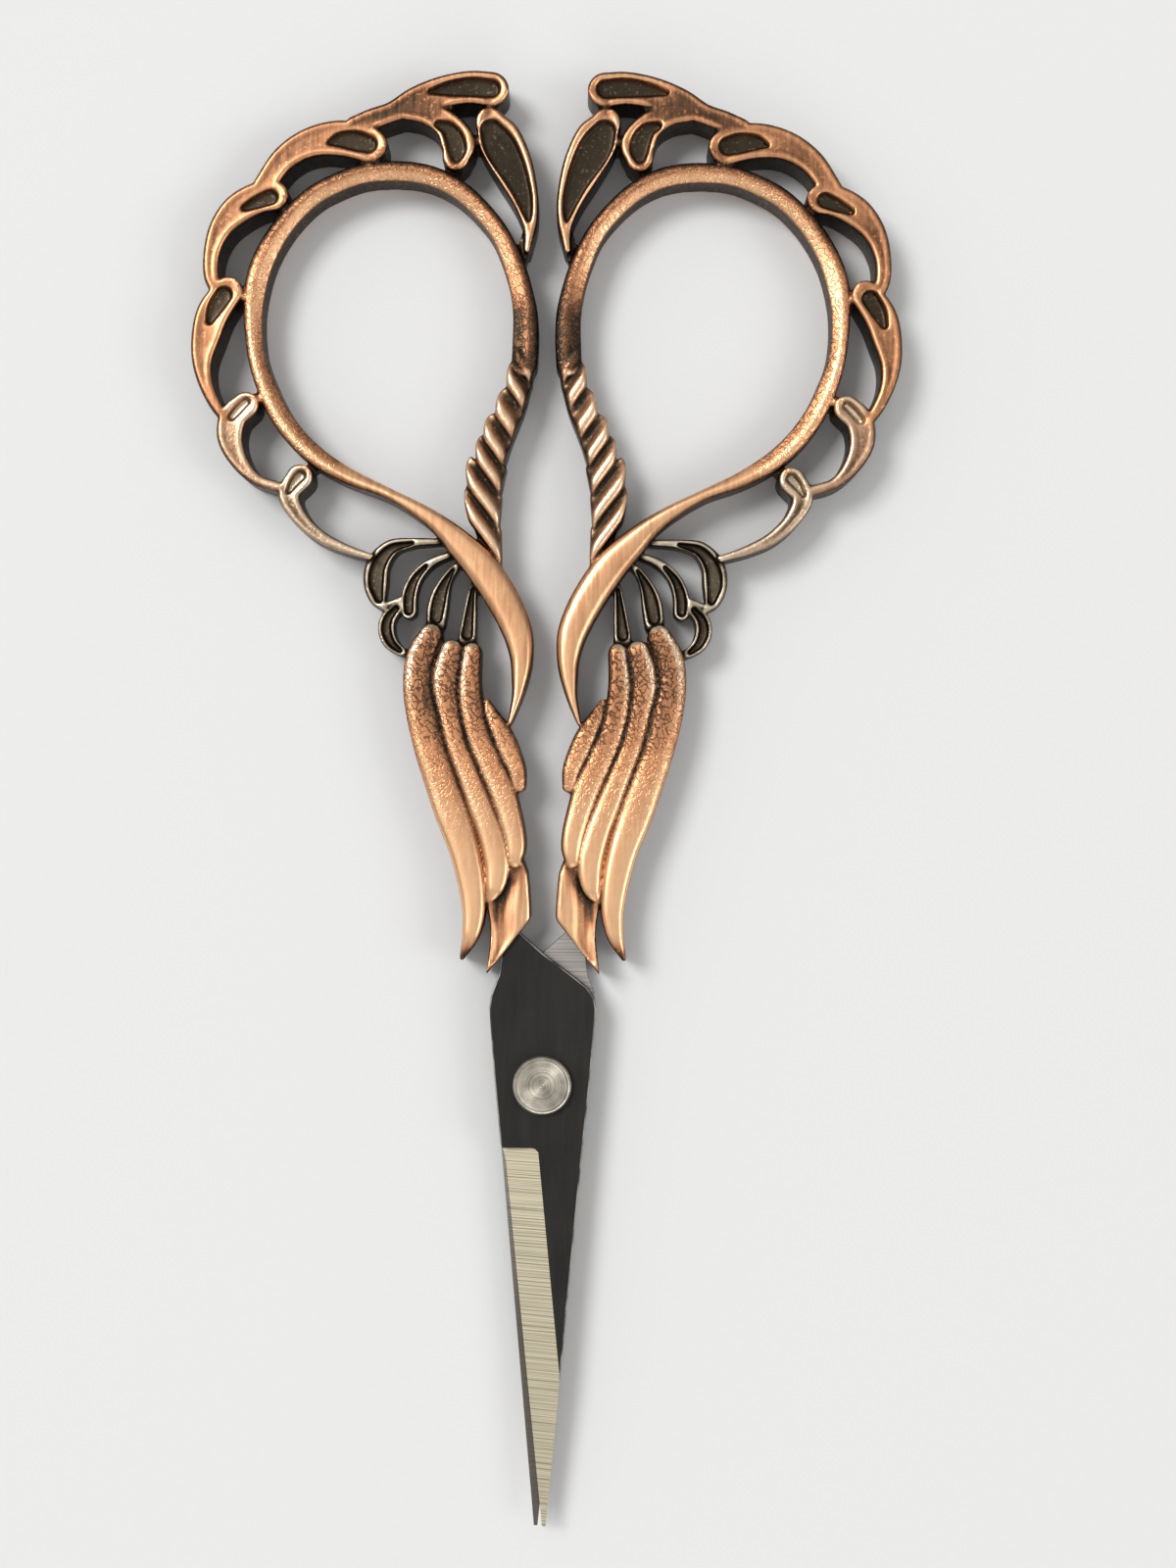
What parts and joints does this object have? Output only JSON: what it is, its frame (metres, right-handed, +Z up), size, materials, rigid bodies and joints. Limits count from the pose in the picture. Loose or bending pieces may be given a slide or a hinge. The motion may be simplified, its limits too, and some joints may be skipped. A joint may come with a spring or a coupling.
{
  "type": "embroidery scissors",
  "caption": "Embroidery scissors with ornate openwork cast handles, slim blackened blades with a ground bevel, and a riveted pivot that opens and closes.",
  "frame": {"origin": "under the middle of the bounding box, on the plane that the scissors lie on", "axes": "+Z up out of the face, +Y from the blade tips towards the finger bows, +X towards the right handle"},
  "size_m": [0.0604, 0.1242, 0.0044],
  "materials": {
    "black_steel": "matt black oxide with a ground bevel",
    "antique_copper": "copper-plated casting with dark patina in the recesses",
    "bright_steel": "turned"
  },
  "bodies": {
    "rear_half": {"rear_blade": "black_steel", "right_handle": "antique_copper", "pivot_rivet": "bright_steel", "rivet_cap": "bright_steel"},
    "front_half": {"front_blade": "black_steel", "left_handle": "antique_copper"}
  },
  "joints": [
    {"name": "scissor_pivot", "type": "hinge", "parent": "rear_half", "child": "front_half", "pos_m": [0, -0.02415, 0.0022], "axis": [0, 0, 1], "range_deg": [-0.9, 70]}
  ]
}
